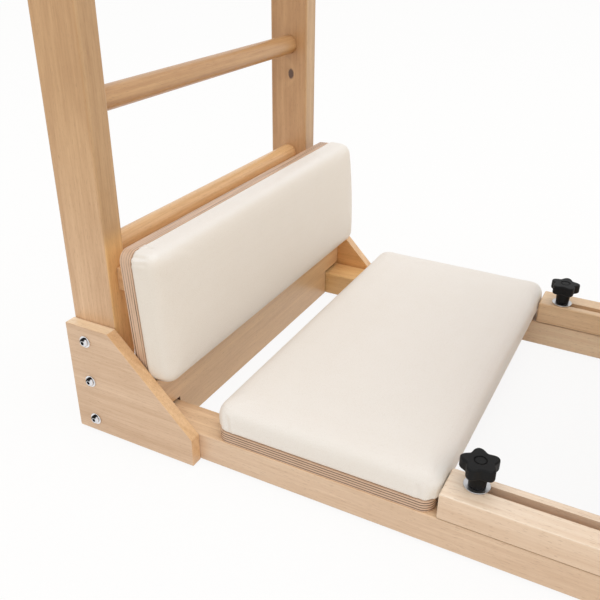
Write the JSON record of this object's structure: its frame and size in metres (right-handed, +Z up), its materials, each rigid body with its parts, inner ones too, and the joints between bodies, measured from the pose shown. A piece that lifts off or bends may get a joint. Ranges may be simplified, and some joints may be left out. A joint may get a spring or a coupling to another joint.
{
  "type": "pilates ladder barrel",
  "caption": "Padded pilates barrel on slotted beams that slide and clamp on a wooden base, with a rung ladder, a leaning back pad and a padded deck.",
  "frame": {"origin": "centre of the footprint at floor height", "axes": "+X from the ladder to the barrel, +Y to the left seen from the ladder, +Z up"},
  "size_m": [1.451, 0.712, 1.0043],
  "materials": {
    "beech": "satin varnish",
    "plywood": "satin varnish",
    "vinyl": "soft vinyl",
    "chrome": "polished",
    "steel": "zinc plated",
    "black_plastic": "matte",
    "rubber": "matte"
  },
  "bodies": {
    "base": {"back_pad_board": "plywood", "back_pad_cushion": "vinyl", "base_rail_left": "beech", "base_rail_right": "beech", "clamp_stud_left": "steel", "clamp_stud_right": "steel", "clamp_washer_left": "chrome", "clamp_washer_right": "chrome", "cross_board": "beech", "end_board": "beech", "gusset_bolt_left_1": "chrome", "gusset_bolt_left_2": "chrome", "gusset_bolt_left_3": "chrome", "gusset_bolt_right_1": "chrome", "gusset_bolt_right_2": "chrome", "gusset_bolt_right_3": "chrome", "gusset_left": "beech", "gusset_right": "beech", "gusset_washer_left_1": "steel", "gusset_washer_left_2": "steel", "gusset_washer_left_3": "steel", "gusset_washer_right_1": "steel", "gusset_washer_right_2": "steel", "gusset_washer_right_3": "steel", "ladder_post_left": "beech", "ladder_post_right": "beech", "ladder_rung_1": "beech", "ladder_rung_2": "beech", "ladder_rung_3": "beech", "ladder_rung_4": "beech", "pad_batten": "beech", "rubber_foot_left_1": "rubber", "rubber_foot_left_2": "rubber", "rubber_foot_right_1": "rubber", "rubber_foot_right_2": "rubber"},
    "barrel_carriage": {"barrel_batten_1": "beech", "barrel_batten_2": "beech", "barrel_batten_3": "beech", "barrel_batten_4": "beech", "barrel_batten_5": "beech", "barrel_cushion": "vinyl", "barrel_shell": "plywood", "barrel_side_left": "plywood", "barrel_side_right": "plywood", "barrel_stretcher_1": "beech", "barrel_stretcher_2": "beech", "side_bolt_left_1": "chrome", "side_bolt_left_2": "chrome", "side_bolt_right_1": "chrome", "side_bolt_right_2": "chrome", "slide_beam_left": "beech", "slide_beam_right": "beech"},
    "deck": {"deck_board": "plywood", "deck_cushion": "vinyl", "deck_cleat_left": "beech", "deck_cleat_right": "beech"},
    "knob_right": {"star_knob_right": "black_plastic"},
    "knob_left": {"star_knob_left": "black_plastic"}
  },
  "joints": [
    {"name": "barrel_slide", "type": "slide", "parent": "base", "child": "barrel_carriage", "axis": [1, 0, 0], "range_m": [-0.06, 0]},
    {"name": "deck_slide", "type": "slide", "parent": "base", "child": "deck", "axis": [1, 0, 0], "range_m": [-0.06, 0]},
    {"name": "knob_turn_right", "type": "hinge", "parent": "base", "child": "knob_right", "pos_m": [-0.0885, -0.2897, 0.0962], "axis": [0, 0, 1], "range_deg": [0, 720]},
    {"name": "knob_turn_left", "type": "hinge", "parent": "base", "child": "knob_left", "pos_m": [-0.0885, 0.2897, 0.0962], "axis": [0, 0, 1], "range_deg": [0, 720]}
  ],
  "couplings": [
    {"joint": "deck_slide", "follows": "barrel_slide", "ratio": 1}
  ]
}
